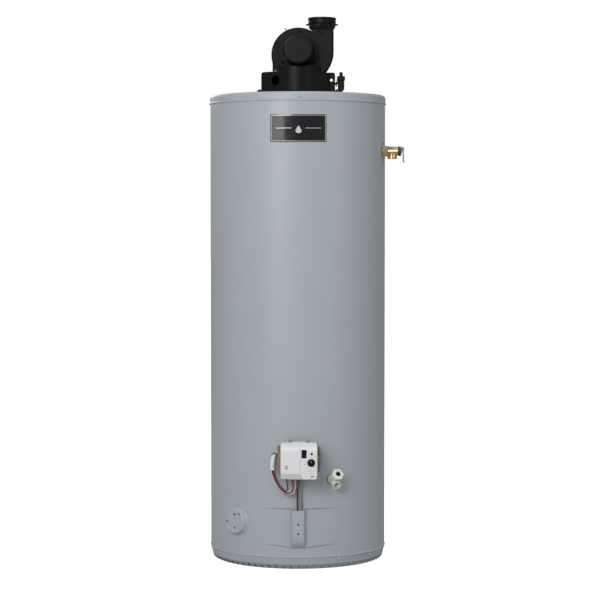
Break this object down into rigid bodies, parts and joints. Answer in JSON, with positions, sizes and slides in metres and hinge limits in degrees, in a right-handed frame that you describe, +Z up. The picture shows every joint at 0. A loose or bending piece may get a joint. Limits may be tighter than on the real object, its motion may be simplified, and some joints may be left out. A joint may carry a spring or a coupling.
{
  "type": "tank water heater",
  "caption": "Tall cylindrical gas storage water heater with a top-mounted exhaust blower, front gas control, relief valve, drain valve and removable burner access door.",
  "frame": {"origin": "on the tank's vertical axis at the underside of the base pan, where it meets the floor", "axes": "+Z up the tank towards the vent outlet, -Y out of the front where the gas control and burner door are, +X towards the side with the relief valve and the gas inlet"},
  "size_m": [0.6216, 0.6741, 1.7236],
  "materials": {
    "jacket_paint": "semi-gloss grey enamel paint",
    "badge_black": "gloss black with a thin light border, blank",
    "tank_steel": "welded steel, glass-lined inside",
    "foam": "rigid polyurethane foam",
    "bare_steel": "heat-tinted bare steel",
    "zinc": "zinc plated",
    "brass": "machined brass",
    "aluminium": "drawn aluminium tube",
    "anode_magnesium": "cast magnesium, dull",
    "control_casting": "olive-tan chromated die casting",
    "cover_white": "moulded white plastic",
    "knob_black": "moulded black plastic",
    "lens_dark": "dark lens",
    "blower_black": "moulded black plastic, fine satin",
    "motor_black": "black painted steel",
    "gasket": "compressed fibre and rubber",
    "stator_core": "varnished laminations and copper",
    "drain_cream": "moulded cream plastic",
    "wire_black": "PVC insulation",
    "wire_red": "PVC insulation",
    "wire_white": "PVC insulation",
    "sleeve_white": "soft white sleeve",
    "dip_plastic": "polyethylene",
    "sight_glass": "heat-proof glass"
  },
  "bodies": {
    "heater": {"base_pan": "jacket_paint", "jacket": "jacket_paint", "lid": "jacket_paint", "badge": "badge_black", "inspection_cap": "jacket_paint", "tank": "tank_steel", "insulation": "foam", "flue_tube": "tank_steel", "flue_baffle": "bare_steel", "cold_nipple": "zinc", "hot_nipple": "zinc", "dip_tube": "dip_plastic", "anode_rod": "anode_magnesium", "heat_shield": "bare_steel", "flame_arrestor": "bare_steel", "burner": "bare_steel", "burner_tube": "aluminium", "pilot_igniter": "bare_steel", "chamber_door": "bare_steel", "door_gasket": "gasket", "sight_glass": "sight_glass", "control_body": "control_casting", "control_cover": "cover_white", "status_light": "lens_dark", "thermowell": "brass", "cover_screw": "zinc", "cover_clip_left": "bare_steel", "cover_clip_right": "bare_steel", "gas_tube": "aluminium", "wire_sleeve": "sleeve_white", "igniter_lead": "wire_black", "wire_black": "wire_black", "wire_red_left": "wire_red", "wire_white_left": "wire_white", "wire_red_right": "wire_red", "wire_white_right": "wire_white", "relief_valve": "brass", "drain_valve": "drain_cream", "blower_gasket": "gasket", "blower_base": "blower_black", "intake_housing": "blower_black", "scroll_housing": "blower_black", "scroll_cover": "blower_black", "vent_outlet": "blower_black", "motor_case": "motor_black", "motor_cap": "motor_black", "motor_stator": "stator_core", "harness_socket": "knob_black", "harness_plug": "knob_black", "harness_lead": "wire_black"},
    "rotor": {"impeller": "blower_black", "motor_shaft": "bare_steel"},
    "relief_lever": {"relief_lever": "zinc"},
    "relief_stem": {"relief_stem": "bare_steel"},
    "temperature_knob": {"temperature_knob": "knob_black"},
    "rocker_switch": {"rocker_switch": "knob_black"},
    "drain_knob": {"drain_knob": "drain_cream"},
    "outer_door": {"outer_door": "jacket_paint", "door_screw_upper": "zinc", "door_screw_lower": "zinc"}
  },
  "joints": [
    {"name": "impeller_spin", "type": "hinge", "parent": "heater", "child": "rotor", "pos_m": [0.0015, -0.04, 1.616], "axis": [0, -1, 0], "continuous": true},
    {"name": "relief_lever_lift", "type": "hinge", "parent": "heater", "child": "relief_lever", "pos_m": [0.33039, -0.09474, 1.3073], "axis": [-0.2756, -0.9613, 0], "range_deg": [0, 80], "stiffness_Nm_per_rad": 0.08},
    {"name": "relief_stem_lift", "type": "slide", "parent": "heater", "child": "relief_stem", "axis": [0.9613, -0.2756, 0], "range_m": [0, 0.003]},
    {"name": "temperature_dial", "type": "hinge", "parent": "heater", "child": "temperature_knob", "pos_m": [0.0408, -0.38, 0.345], "axis": [0, -1, 0], "range_deg": [-120, 120]},
    {"name": "power_rocker", "type": "hinge", "parent": "heater", "child": "rocker_switch", "pos_m": [0.0191, -0.373, 0.3715], "axis": [1, 0, 0], "range_deg": [-8, 8]},
    {"name": "drain_knob_turn", "type": "hinge", "parent": "heater", "child": "drain_knob", "pos_m": [0.11137, -0.27155, 0.28], "axis": [0.3218, -0.7846, 0.5299], "range_deg": [0, 270]},
    {"name": "outer_door_pull", "type": "slide", "parent": "heater", "child": "outer_door", "axis": [0, -1, 0], "range_m": [0, 0.15]}
  ],
  "couplings": [
    {"joint": "relief_stem_lift", "follows": "relief_lever_lift", "m_per_rad": 0.00214}
  ]
}
